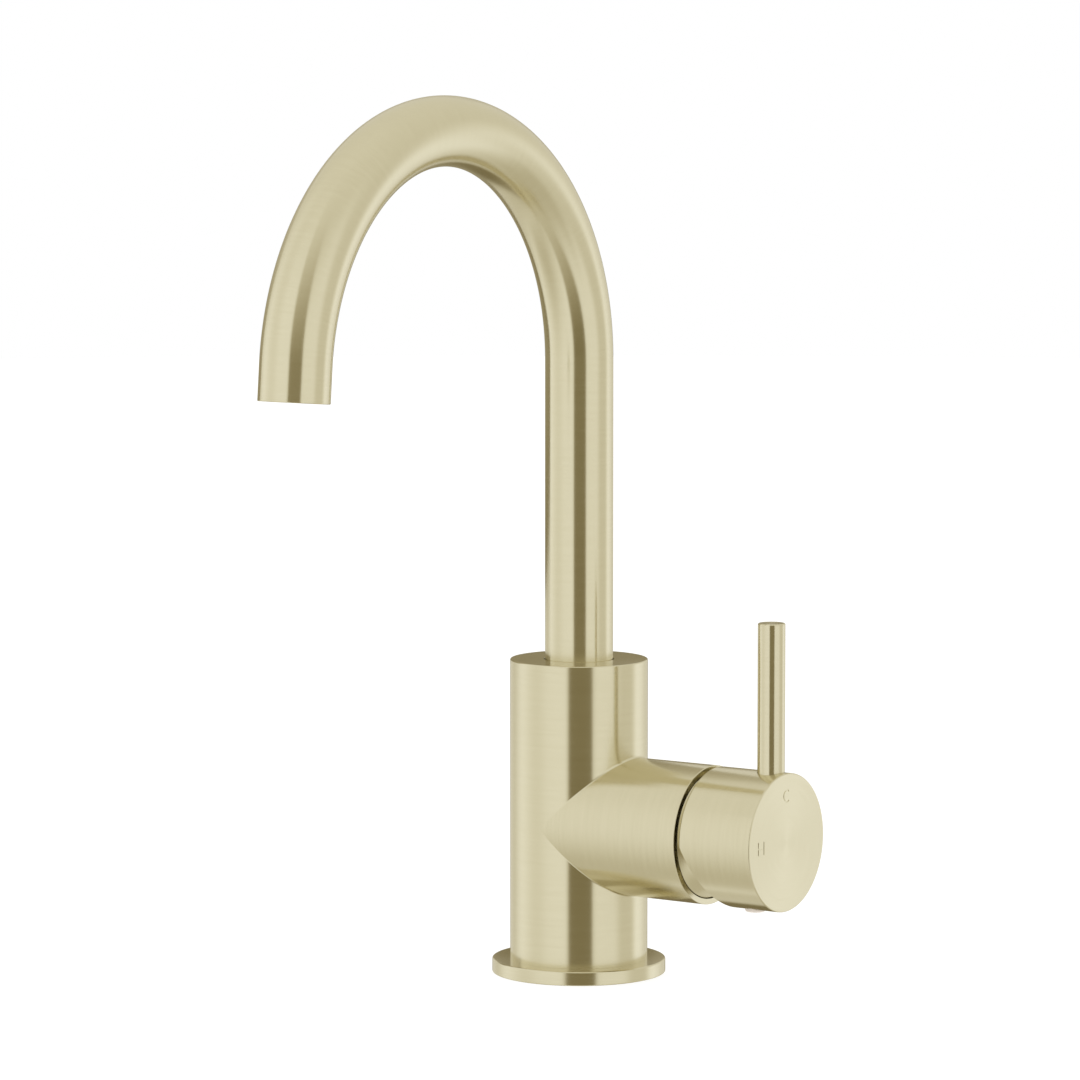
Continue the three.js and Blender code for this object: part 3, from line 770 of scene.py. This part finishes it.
def nut():
    """The ring nut: a fine thread, and a hexagon in front for its spanner."""
    bore, outer, back, front = girth("retaining_nut", BARREL)
    outline = corners(
        (bore, back), *bolt_thread(outer, NUT_PITCH, back + GAP, MOUTH_START - GAP),
        (outer, front, 1.5 * MM), (bore, front, 0.5 * MM),
    )
    apothem = outer * math.cos(math.pi / 6)
    return cut(turned("ring_nut", outline, BARREL), flats(BARREL, 6, apothem, MOUTH_START, front + MM))


def stem():
    """The lever: a ball for the disc's carrier, a neck, and a turned shank milled square."""
    low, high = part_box("lever_stem")
    ball = low.x + BALL_RADIUS
    neck_turn = math.pi - math.asin(NECK_RADIUS / BALL_RADIUS)
    turns = [neck_turn * k / 12 for k in range(13)]
    arc = [(BALL_RADIUS * math.sin(t), ball - BALL_RADIUS * math.cos(t), BALL_RADIUS) for t in turns]
    neck_start = arc.pop()[1]
    shank_start = PIVOT.x - 4 * MM
    shank = 1.3 * high.y
    outline = arc + corners(
        (NECK_RADIUS, neck_start), (NECK_RADIUS, shank_start, 0.5 * MM), (shank, shank_start, 0.8 * MM),
        (shank, high.x, 0.6 * MM), (0, high.x),
    )
    _, radius, left, right = girth("pivot_pin", TILT_AXIS)
    cutters = flats(BARREL, 4, high.y, shank_start - MM, high.x + MM)
    cutters.append(bolt("pivot_hole", TILT_AXIS, radius + GAP, left, right, segments=48))
    return cut(turned("lever", outline, BARREL, 96), cutters)


def axle():
    return bolt("axle", TILT_AXIS, *girth("pivot_pin", TILT_AXIS)[1:], 0.3 * MM, segments=48)


def grub_screw():
    """The screw that clamps the handle on its stem, turned from below."""
    path, radius, low, high = post("handle_grub_screw")
    thread = bolt_thread(radius, GRUB_PITCH, low + GAP, high - 1.2 * MM)
    outline = corners((0, low), (radius - GAP, low), *thread, (0.6 * radius, high), (0, high))
    return cut(turned("grub", outline, path, 48), [hexagon_key(path, low - MM, 1.1 * MM, 3.6 * MM)])


def nipple():
    """The spigot in the tube's foot, grooved for its seals, its glide ring and the lock screw."""
    bore, outer, low, high = girth("spout_nipple", COLUMN)
    groove = girth("spout_glide_ring", COLUMN).inner - 0.2 * MM
    rings = [girth(node, COLUMN) for node in ("spout_seal_lower", "spout_seal_upper", "spout_glide_ring")]
    bands = [(ring.low - GAP, ring.high + GAP) for ring in rings]
    bands.append((LOCK_HEIGHT - LOCK_GROOVE, LOCK_HEIGHT + LOCK_GROOVE))
    places = [(bore, low, 0.4 * MM), (outer, low, 0.4 * MM)]
    for bottom, top in bands:
        places += [(outer, bottom), (groove, bottom), (groove, top), (outer, top)]
    spigot = SPOUT.tube_radius - TUBE_WALL - GAP
    foot = SPOUT.start - GAP
    places += [(outer, foot), (spigot, foot), (spigot, high, 0.5 * MM), (bore, high)]
    return turned("spigot", corners(*places), COLUMN, 128)


def bolt(name, path, radius, low, high, edge=FINE_EDGE, top=None, segments=64):
    """A plain round bar, also used as a cutter; top is its far edge's rounding, where that differs."""
    far = edge if top is None else top
    outline = [(0, low, 0), (radius, low, edge), (radius, high, far), (0, high, 0)]
    return turned(name, outline, path, segments)


def port_bores(widening, low, high):
    """Cutters at the cartridge's three ports, wider than the water's way by an amount."""
    bores = []
    for node in ("port_seal_cold", "port_seal_hot", "port_seal_outlet"):
        radius = girth(node, port_path(node)).inner - 0.15 * MM + widening
        bores.append(bolt("port_bore", port_path(node), radius, low, high))
    return bores


def clock_path(clock, out):
    """A path along the barrel, at an angle from straight up towards the spout and a distance out."""
    turn = math.radians(clock)
    return barrelwise(-out * math.sin(turn), out * math.cos(turn))


def cartridge_foot():
    """The cartridge's base: ports with recesses for their seals, and two pegs that locate it."""
    _, outer, back, front = girth("cartridge_base", BARREL)
    plate = bolt("cartridge_foot", BARREL, outer, SEAT_FLOOR + GAP, front, 0.4 * MM)
    recess = SEAT_FLOOR + GAP + 1.4 * MM
    cutters = port_bores(1.6 * MM, back, recess) + port_bores(0, back, front + MM)
    pegs = [bolt("peg", clock_path(*place), 1.2 * MM, back, recess, 0.3 * MM) for place in PEGS]
    return cut(cut(plate, pegs, "UNION"), cutters)


def lower_disc():
    _, outer, back, front = girth("fixed_disc", BARREL)
    plate = bolt("lower_disc", BARREL, outer, back, front, 0.3 * MM)
    return cut(plate, port_bores(0, back - MM, front + MM))


def upper_disc():
    """The sliding disc: a pear-shaped pocket at the back, and two holes for the carrier's pegs in front."""
    _, outer, back, front = girth("moving_disc", BARREL)
    plate = bolt("upper_disc", BARREL, outer, back, front, 0.3 * MM)
    depth = 1.5 * MM
    cutters = [
        bolt("pocket", barrelwise(0, -3 * MM), 4.5 * MM, back - MM, back + depth),
        bolt("tip", barrelwise(0, 2 * MM), 3.2 * MM, back - MM, back + depth),
    ]
    for y in (-DRIVE_OUT, DRIVE_OUT):
        cutters.append(bolt("hole", barrelwise(y), 1.3 * MM, front - depth, front + MM))
    return cut(plate, cutters)


def carrier():
    """The disc's carrier: a socket for the lever's ball, and two pegs that drive the disc."""
    _, outer, back, front = girth("disc_carrier", BARREL)
    start = girth("moving_disc", BARREL).high + GAP
    inner = BALL_RADIUS + 0.5 * MM
    outline = [
        (inner, start, 0.3 * MM), (outer, start, 0.3 * MM), (outer, front, 0.5 * MM),
        (inner, front, 0.6 * MM),
    ]
    pegs = [bolt("peg", barrelwise(y), MM, back, start + MM, 0.2 * MM) for y in (-DRIVE_OUT, DRIVE_OUT)]
    return cut(turned("carrier", outline, BARREL, 128), pegs, "UNION")


def case():
    """The cartridge's sleeve, with a lip that keeps the rotor in."""
    lip, outer, back, front = girth("cartridge_case", BARREL)
    inner = girth("rotor", BARREL).outer + GAP
    lip_back = front - 2.7 * MM
    outline = [
        (inner, back, 0.3 * MM), (outer, back, 0.3 * MM), (outer, front, 0.6 * MM), (lip, front, 0.4 * MM),
        (lip, lip_back, 0.2 * MM), (inner, lip_back, 0.2 * MM),
    ]
    return turned("sleeve", outline, BARREL, 128)


def turning_piece():
    """The rotor: a groove for its seal, a slot for the lever and a hole for the pivot pin."""
    _, outer, back, front = girth("rotor", BARREL)
    seal = girth("rotor_seal", BARREL)
    groove, room = seal.inner - 0.2 * MM, 0.25 * MM
    start, end = seal.low - room, seal.high + room
    neck = girth("cartridge_case", BARREL).inner - GAP
    shoulder = girth("cartridge_case", BARREL).high - 3.0 * MM
    outline = corners(
        (0, back), (outer, back, 0.4 * MM), (outer, start), (groove, start), (groove, end), (outer, end),
        (outer, shoulder, 0.3 * MM), (neck, shoulder), (neck, front, 0.5 * MM), (0, front),
    )
    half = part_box("lever_stem")[1].y + GAP
    slot_low = (back - MM, -half, PIVOT.z - SLOT_HALF)
    slot = box_cutter("slot", slot_low, (front + MM, half, PIVOT.z + SLOT_HALF))
    radius = girth("pivot_pin", TILT_AXIS).outer + GAP
    hole = bolt("pin_hole", TILT_AXIS, radius, -outer - MM, outer + MM)
    return cut(turned("turning_piece", outline, BARREL, 128), [slot, hole])


# ---- materials

class Tree:
    """A material or world under construction: nodes are added with their inputs, and links are sockets."""

    def __init__(self, owner):
        owner.use_nodes = True
        self.tree = owner.node_tree
        self.tree.nodes.clear()

    def add(self, kind, inputs=None, **settings):
        node = self.tree.nodes.new("ShaderNode" + kind)
        for key, value in settings.items():
            setattr(node, key, value)
        for key, value in (inputs or {}).items():
            if isinstance(value, bpy.types.NodeSocket):
                self.tree.links.new(value, node.inputs[key])
            else:
                node.inputs[key].default_value = value
        return node

    def math(self, operation, *values):
        return self.add("Math", dict(enumerate(values)), operation=operation).outputs[0]

    def noise(self, vector, scale=1.0, detail=2.0, roughness=0.5):
        inputs = {"Vector": vector, "Scale": scale, "Detail": detail, "Roughness": roughness}
        return self.add("TexNoise", inputs).outputs[0]

    def spread(self, value, low, high, from_low=0.3, from_high=0.7):
        """A noise value brought to the range from low to high."""
        inputs = {"Value": value, "From Min": from_low, "From Max": from_high, "To Min": low, "To Max": high}
        return self.add("MapRange", inputs).outputs[0]

    def tinted(self, factor, first, second):
        """A colour between two; the mix node's colour sockets are numbers 6 and 7 in and 2 out."""
        inputs = {0: factor, 6: (*first, 1), 7: (*second, 1)}
        return self.add("Mix", inputs, data_type="RGBA").outputs[2]

    def warmed(self, level):
        """A brightness as the colour of light that the gold coating reflects at it."""
        parts = {i: self.math("POWER", level, power) for i, power in enumerate(WARMTH)}
        return self.add("CombineColor", parts).outputs[0]


def surface(name, **inputs):
    """A material with one Principled shader; returns it with its tree and shader."""
    material = bpy.data.materials.new(name)
    tree = Tree(material)
    shader = tree.add("BsdfPrincipled", inputs)
    tree.add("OutputMaterial", {"Surface": shader.outputs[0]})
    return material, tree, shader


def link(tree, socket, shader, name):
    tree.tree.links.new(socket, shader.inputs[name])


def brush_vector(tree, per_turn, per_metre):
    """Coordinates stretched along the brushing, which runs round each piece, with no seam."""
    uv = tree.add("UVMap", uv_map=UV)
    split = tree.add("SeparateXYZ", {0: uv.outputs[0]})
    turn = tree.math("MULTIPLY", split.outputs[1], 2 * math.pi)
    around = [tree.math("MULTIPLY", tree.math(wave, turn), per_turn) for wave in ("COSINE", "SINE")]
    along = tree.math("MULTIPLY", split.outputs[0], per_metre)
    return tree.add("CombineXYZ", {0: around[0], 1: around[1], 2: along}).outputs[0]


GOLD_DARK = (0.735, 0.684, 0.490)
GOLD_LIGHT = (0.765, 0.716, 0.522)


def brushed_gold():
    """Champagne gold coating over fine brushing: crisp round each piece, and blurred along it."""
    material, tree, shader = surface("brushed_champagne_gold", Metallic=1.0, Anisotropic=0.7)
    fine = tree.noise(brush_vector(tree, 2.2, 5200), detail=3.0, roughness=0.6)
    broad = tree.noise(brush_vector(tree, 0.8, 900), detail=2.0)
    cloud = tree.noise(tree.add("TexCoord").outputs["Object"], scale=22.0)
    streak = tree.math("ADD", tree.math("MULTIPLY", fine, 0.65), tree.math("MULTIPLY", broad, 0.35))
    colour = tree.tinted(tree.spread(streak, 0, 1, 0.35, 0.65), GOLD_DARK, GOLD_LIGHT)
    link(tree, colour, shader, "Base Color")
    rough = tree.math("ADD", tree.spread(streak, -0.015, 0.015), tree.spread(cloud, 0.19, 0.21))
    link(tree, rough, shader, "Roughness")
    bump = tree.add("Bump", {"Strength": 0.05, "Distance": 0.00002, "Height": fine})
    link(tree, bump.outputs[0], shader, "Normal")
    tangent = tree.add("Tangent", direction_type="UV_MAP", uv_map=UV)
    link(tree, tangent.outputs[0], shader, "Tangent")
    return material


def speckled(name, dark, light, roughness, scale=900.0, bump=0.05, metallic=0.0, lines=None):
    """A moulded, ground or turned surface: a fine grain, or lines round the piece, in all its channels."""
    material, tree, shader = surface(name, Metallic=metallic)
    place = tree.add("TexCoord").outputs["Object"]
    grain = tree.noise(place, scale=scale, detail=3.0)
    if lines:
        grain = tree.noise(brush_vector(tree, 1.0, lines), detail=2.0)
    cloud = tree.noise(place, scale=60.0)
    mixed = tree.math("ADD", tree.math("MULTIPLY", grain, 0.6), tree.math("MULTIPLY", cloud, 0.4))
    link(tree, tree.tinted(tree.spread(mixed, 0, 1), dark, light), shader, "Base Color")
    link(tree, tree.spread(mixed, roughness - 0.06, roughness + 0.06), shader, "Roughness")
    height = tree.add("Bump", {"Strength": bump, "Distance": 0.00005, "Height": grain})
    link(tree, height.outputs[0], shader, "Normal")
    return material


# The other surfaces by slot: a name, the grain's dark and light colours, the roughness, and what differs.
BRASS_LINES = {"metallic": 1.0, "lines": 4000}
STEEL_LINES = {"metallic": 1.0, "lines": 5000}
SPECKLED = {
    "raw_brass": ("turned_brass", (0.50, 0.36, 0.13), (0.62, 0.47, 0.20), 0.3, BRASS_LINES),
    "steel": ("turned_steel", (0.45, 0.45, 0.46), (0.60, 0.60, 0.61), 0.28, STEEL_LINES),
    "ceramic": ("lapped_ceramic", (0.78, 0.76, 0.71), (0.86, 0.85, 0.81), 0.22, {"scale": 2500}),
    "white_plastic": ("white_plastic", (0.74, 0.73, 0.70), (0.82, 0.81, 0.79), 0.48, {}),
    "blue_plastic": ("blue_plastic", (0.085, 0.17, 0.32), (0.11, 0.21, 0.38), 0.45, {}),
    "grey_plastic": ("grey_plastic", (0.060, 0.063, 0.067), (0.080, 0.084, 0.089), 0.5, {}),
    "blush_plastic": ("blush_plastic", (0.76, 0.68, 0.62), (0.83, 0.76, 0.70), 0.4, {"scale": 1500}),
    "rubber": ("rubber", (0.012, 0.012, 0.012), (0.022, 0.022, 0.022), 0.75, {"scale": 1800, "bump": 0.1}),
}


def all_materials():
    made = {slot: speckled(*looks, **others) for slot, (*looks, others) in SPECKLED.items()}
    return {"brushed_gold": brushed_gold(), **made}


# ---- studio

# Each panel of the studio, seen from the object: its brightness, then its left, right, bottom and top, in
# degrees to the right of the camera and above the horizon, each followed by the softness of that edge.
PANELS = {
    "left_softbox": (0.94, (-74, 48), (-20.5, 3), (-60, 70), (55, 70)),
    "far_left_softbox": (1.08, (-125, 33), (-85, 50), (-90, 140), (25, 140)),
    "gap_behind_camera": (0.16, (-17.5, 2), (22, 2), (-42, 80), (22, 80)),
    "right_softbox": (0.90, (24, 8), (69, 20), (-49, 33), (30, 33)),
    "lower_right": (0.56, (52, 42), (126, 5), (-76, 15), (-32, 15)),
    "far_right_softbox": (1.03, (105, 17), (135, 40), (-40, 34), (8, 34)),
    "behind_the_object": (0.18, (166, 12), (192, 8), (-75, 60), (12, 16)),
    "lower_left": (0.52, (-118, 25), (-54, 67), (-73, 71), (-31, 71)),
}
SKY_LEVEL, GROUND_LEVEL = 0.80, 0.62
# The gold coating's dim reflections are warmer, so colours fall off as these powers of their brightness.
WARMTH = (0.895, 1.0, 1.357)
# The grey card's parts, left to right and low to high, and its brightness at its foot and its top.
CARD = ((-0.47, 0.03, 0.10, 0.40), (-0.03, 0.03, 0.0, 0.10))
CARD_LEVELS = (0.20, 0.60)
CARD_DISTANCE = 0.22
FLOOR_RADIUS = 3.0
FLOOR_DROP = 0.2 * MM
FLOOR_GLOW = 0.86
CAMERA_AZIMUTH = math.radians(34.9)
CAMERA_PITCH = math.radians(5.827)
CAMERA_HEIGHT = 318.97 * MM
CAMERA_DISTANCE = 1732.8 * MM
CAMERA_OFFSET = -12.744 * MM
CAMERA_LENS = 178.16
CAMERA_SENSOR = 36
CAMERA_FORWARD = Vector((-math.sin(CAMERA_AZIMUTH), math.cos(CAMERA_AZIMUTH), 0))
CAMERA_RIGHT = Vector((math.cos(CAMERA_AZIMUTH), math.sin(CAMERA_AZIMUTH), 0))


def edge(tree, value, start, softness, rising=True):
    low, high = start - softness / 2, start + softness / 2
    start_level, end_level = (0.0, 1.0) if rising else (1.0, 0.0)
    inputs = {"Value": value, "From Min": low, "From Max": high, "To Min": start_level, "To Max": end_level}
    return tree.add("MapRange", inputs, interpolation_type="SMOOTHSTEP").outputs[0]


def studio_level(tree, azimuth, elevation):
    """The brightness in a direction: a sky that fades to the ground, with the panels laid over it."""
    level = tree.spread(elevation, GROUND_LEVEL, SKY_LEVEL, -90, 90)
    for brightness, left, right, bottom, top in PANELS.values():
        turn = azimuth
        if right[0] > 180:
            behind = tree.math("LESS_THAN", azimuth, 0)
            turn = tree.math("ADD", azimuth, tree.math("MULTIPLY", behind, 360))
        mask = edge(tree, turn, *left)
        bounds = ((turn, right, False), (elevation, bottom, True), (elevation, top, False))
        for value, bound, rising in bounds:
            mask = tree.math("MULTIPLY", mask, edge(tree, value, *bound, rising=rising))
        change = tree.math("SUBTRACT", brightness, level)
        level = tree.math("ADD", level, tree.math("MULTIPLY", mask, change))
    return level


def world():
    """White to the camera, and for reflections a soft studio of panels, dark behind the camera."""
    made = bpy.data.worlds.new("studio")
    bpy.context.scene.world = made
    tree = Tree(made)
    ray = tree.add("TexCoord").outputs["Generated"]
    height = tree.add("SeparateXYZ", {0: ray}).outputs[2]
    ahead, aside = [
        tree.add("VectorMath", {0: ray, 1: way}, operation="DOT_PRODUCT").outputs["Value"]
        for way in (-CAMERA_FORWARD, CAMERA_RIGHT)
    ]
    azimuth = tree.math("DEGREES", tree.math("ARCTAN2", aside, ahead))
    elevation = tree.math("DEGREES", tree.math("ARCSINE", height))
    level = studio_level(tree, azimuth, elevation)
    studio = tree.add("Background", {"Color": tree.warmed(level)})
    white = tree.add("Background", {"Color": (1, 1, 1, 1)})
    seen = tree.add("LightPath").outputs["Is Camera Ray"]
    mix = tree.add("MixShader", {0: seen, 1: studio.outputs[0], 2: white.outputs[0]})
    tree.add("OutputWorld", {"Surface": mix.outputs[0]})


def floor():
    """A white disc just under the foot. The metal reflects the studio's lower half instead of it."""
    skin = Skin()
    normal = Vector((0, 1))
    points = [(Vector((radius, -FLOOR_DROP)), normal) for radius in (FLOOR_RADIUS, 0)]
    skin.sweep(points, COLUMN, 96)
    piece = skin.piece("floor")
    material, tree, shader = surface("floor", **{"Base Color": (0.3, 0.3, 0.3, 1), "Roughness": 0.8})
    cloud = tree.noise(tree.add("TexCoord").outputs["Object"], scale=30.0)
    link(tree, tree.spread(cloud, 0.75, 0.85), shader, "Roughness")
    shader.inputs["Emission Color"].default_value = (1, 1, 1, 1)
    shader.inputs["Emission Strength"].default_value = FLOOR_GLOW
    piece.data.materials.append(material)
    piece.visible_glossy = False


def flag():
    """A grey card on a narrow foot, standing behind the object and seen only in reflections."""
    places, faces = [], []
    for left, right, low, high in CARD:
        first = len(places)
        for across, height in ((left, low), (right, low), (right, high), (left, high)):
            places.append(CAMERA_FORWARD * CARD_DISTANCE + CAMERA_RIGHT * across + UP * height)
        faces.append(range(first, first + 4))
    mesh = bpy.data.meshes.new("flag")
    mesh.from_pydata(places, [], faces)
    piece = shown("flag", mesh)
    material = bpy.data.materials.new("flag")
    tree = Tree(material)
    place = tree.add("TexCoord").outputs["Object"]
    height = tree.add("SeparateXYZ", {0: place}).outputs[2]
    level = tree.spread(height, *CARD_LEVELS, *CARD[0][2:])
    glow = tree.add("Emission", {"Color": tree.warmed(level)})
    tree.add("OutputMaterial", {"Surface": glow.outputs[0]})
    mesh.materials.append(material)
    piece.visible_camera = False
    piece.visible_diffuse = False
    piece.visible_shadow = False


def camera():
    data = bpy.data.cameras.new("camera")
    data.lens = CAMERA_LENS
    data.sensor_width = CAMERA_SENSOR
    made = shown("camera", data)
    made.location = CAMERA_RIGHT * CAMERA_OFFSET - CAMERA_FORWARD * CAMERA_DISTANCE + UP * CAMERA_HEIGHT
    made.rotation_euler = (math.pi / 2 - CAMERA_PITCH, 0, CAMERA_AZIMUTH)
    bpy.context.scene.camera = made


# ---- assembly

camera()
world()
floor()
flag()
MATERIALS = all_materials()
SLOT_OF = {entry["node"]: entry["material_slot"] for entry in frame["record"]["subparts"]}
BODY_OF = {node: body for body, nodes in frame["record"]["behaviour"]["bodies"].items() for node in nodes}

# Each CAD node's visual piece: the function that makes it, then what it takes.
REPLACEMENTS = {
    "base_flange": (flange,),
    "main_body": (body,),
    "spout_lock_screw": (lock_screw,),
    "dome_collar": (dome,),
    "handle_shell": (handle,),
    "lever_pin": (pin,),
    "handle_plug": (plug,),
    "spout_tube": (spout,),
    "aerator_housing": (aerator_housing,),
    "aerator_core": (aerator_core,),
    "base_seal": (washer, "foot_seal", "base_seal", COLUMN, 0.5 * MM),
    "spout_thrust_ring": (washer, "thrust_washer", "spout_thrust_ring", COLUMN, 0.2 * MM),
    "spout_glide_ring": (washer, "glide_band", "spout_glide_ring", COLUMN, 0.2 * MM),
    "aerator_seal": (washer, "aerator_gasket", "aerator_seal", outlet_path(), 0.4 * MM),
    "port_seal_cold": (o_ring, "cold_o_ring", "port_seal_cold", port_path("port_seal_cold")),
    "port_seal_hot": (o_ring, "hot_o_ring", "port_seal_hot", port_path("port_seal_hot")),
    "port_seal_outlet": (o_ring, "outlet_o_ring", "port_seal_outlet", port_path("port_seal_outlet")),
    "rotor_seal": (o_ring, "rotor_o_ring", "rotor_seal", BARREL),
    "spout_seal_lower": (o_ring, "lower_o_ring", "spout_seal_lower", COLUMN),
    "spout_seal_upper": (o_ring, "upper_o_ring", "spout_seal_upper", COLUMN),
    "retaining_nut": (nut,),
    "lever_stem": (stem,),
    "pivot_pin": (axle,),
    "handle_grub_screw": (grub_screw,),
    "spout_nipple": (nipple,),
    "cartridge_base": (cartridge_foot,),
    "fixed_disc": (lower_disc,),
    "moving_disc": (upper_disc,),
    "disc_carrier": (carrier,),
    "cartridge_case": (case,),
    "rotor": (turning_piece,),
}

for node, (make, *details) in REPLACEMENTS.items():
    piece = make(*details)
    piece.data.materials.clear()
    piece.data.materials.append(MATERIALS[SLOT_OF[node]])
    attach(piece, BODY_OF[node])
    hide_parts(node)

for node, shape in frame["nodes"].items():
    shape.data.materials.clear()
    shape.data.materials.append(MATERIALS[SLOT_OF[node]])

bpy.context.scene.view_settings.view_transform = "Standard"
